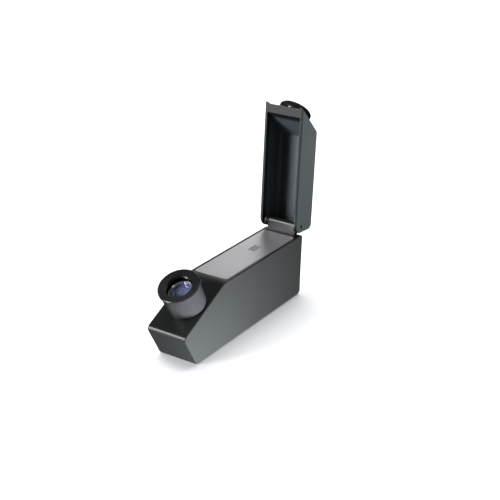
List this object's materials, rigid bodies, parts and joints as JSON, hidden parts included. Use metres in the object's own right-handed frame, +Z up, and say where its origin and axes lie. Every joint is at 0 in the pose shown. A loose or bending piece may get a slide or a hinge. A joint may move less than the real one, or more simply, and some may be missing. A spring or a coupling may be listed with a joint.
{
  "type": "gem refractometer",
  "caption": "Hand-held gem refractometer: slant-nosed box housing with a turning eyepiece, a flat metal stage with a glass prism, and a hinged light-tight lid standing open.",
  "frame": {"origin": "middle of the base face that it rests on", "axes": "+Z up, -Y towards the eyepiece end and the user, +Y towards the hinge and the light port, +X to the user's right"},
  "size_m": [0.03, 0.1556, 0.1373],
  "materials": {
    "housing_paint": "satin black paint over a cast housing",
    "lid_paint": "satin charcoal-black paint",
    "stage_metal": "satin brushed, polished bevel",
    "eyepiece_black": "semi-gloss black anodise",
    "dull_black": "matt black, against stray light",
    "bright_metal": "turned and polished",
    "brass_fittings": "lacquered brass",
    "steel": "plain steel",
    "clear_glass": "polished optical glass",
    "coated_glass": "optical glass with a blue-violet coating",
    "frosted_glass": "frosted",
    "filter_glass": "dark grey-green polarising filter",
    "mirror_glass": "front-silvered",
    "rubber_sheet": "fine matt rubber"
  },
  "bodies": {
    "housing": {"body_shell": "housing_paint", "base_plate": "housing_paint", "anti_slip_sheet": "rubber_sheet", "base_screws": "steel", "rail_screws": "steel", "stage_plate": "stage_metal", "stage_screws": "steel", "hemicylinder_prism": "clear_glass", "prism_cradle": "dull_black", "cradle_screws": "steel", "lens_stand": "dull_black", "objective_lens": "clear_glass", "objective_keeper": "dull_black", "reticle_stand": "dull_black", "scale_reticle": "clear_glass", "reticle_keeper": "dull_black", "mirror_mount": "dull_black", "mirror": "mirror_glass", "optics_rail": "dull_black", "stand_screws": "steel", "light_baffle": "dull_black", "light_port_ring": "dull_black", "light_diffuser": "frosted_glass", "eyepiece_tube": "eyepiece_black", "tube_nut": "dull_black", "guide_key": "steel", "hinge_block": "housing_paint", "hinge_pin": "steel", "friction_washers": "steel", "hinge_screws": "steel"},
    "focus_ring": {"focus_barrel": "eyepiece_black", "eyepiece_cap": "eyepiece_black"},
    "lens_carriage": {"lens_cell": "dull_black", "field_lens": "clear_glass", "lens_spacer": "dull_black", "eye_lens": "coated_glass", "ocular_ring": "bright_metal"},
    "lid": {"lid_shell": "lid_paint", "parking_sleeve": "brass_fittings"},
    "polariser_base": {"polariser_spigot": "bright_metal"},
    "polariser": {"polariser_ring": "eyepiece_black", "polariser_film": "filter_glass", "film_keeper": "dull_black"}
  },
  "joints": [
    {"name": "lid_hinge", "type": "hinge", "parent": "housing", "child": "lid", "pos_m": [0, 0.061, 0.0514], "axis": [1, 0, 0], "range_deg": [0, 94.3]},
    {"name": "focus_turn", "type": "hinge", "parent": "housing", "child": "focus_ring", "pos_m": [0, -0.05047, 0.03423], "axis": [0, -0.4423, 0.8969], "range_deg": [-170, 170]},
    {"name": "focus_travel", "type": "slide", "parent": "housing", "child": "lens_carriage", "axis": [0, -0.4423, 0.8969], "range_m": [-0.0014, 0.0014]},
    {"name": "polariser_pull", "type": "slide", "parent": "lid", "child": "polariser_base", "axis": [0, 0.7369, 0.676], "range_m": [0, 0.005]},
    {"name": "polariser_turn", "type": "hinge", "parent": "polariser_base", "child": "polariser", "pos_m": [0, 0.07142, 0.12495], "axis": [0, 0.7369, 0.676], "continuous": true}
  ],
  "couplings": [
    {"joint": "focus_turn", "follows": "focus_travel", "rad_per_m": 2094.4}
  ]
}
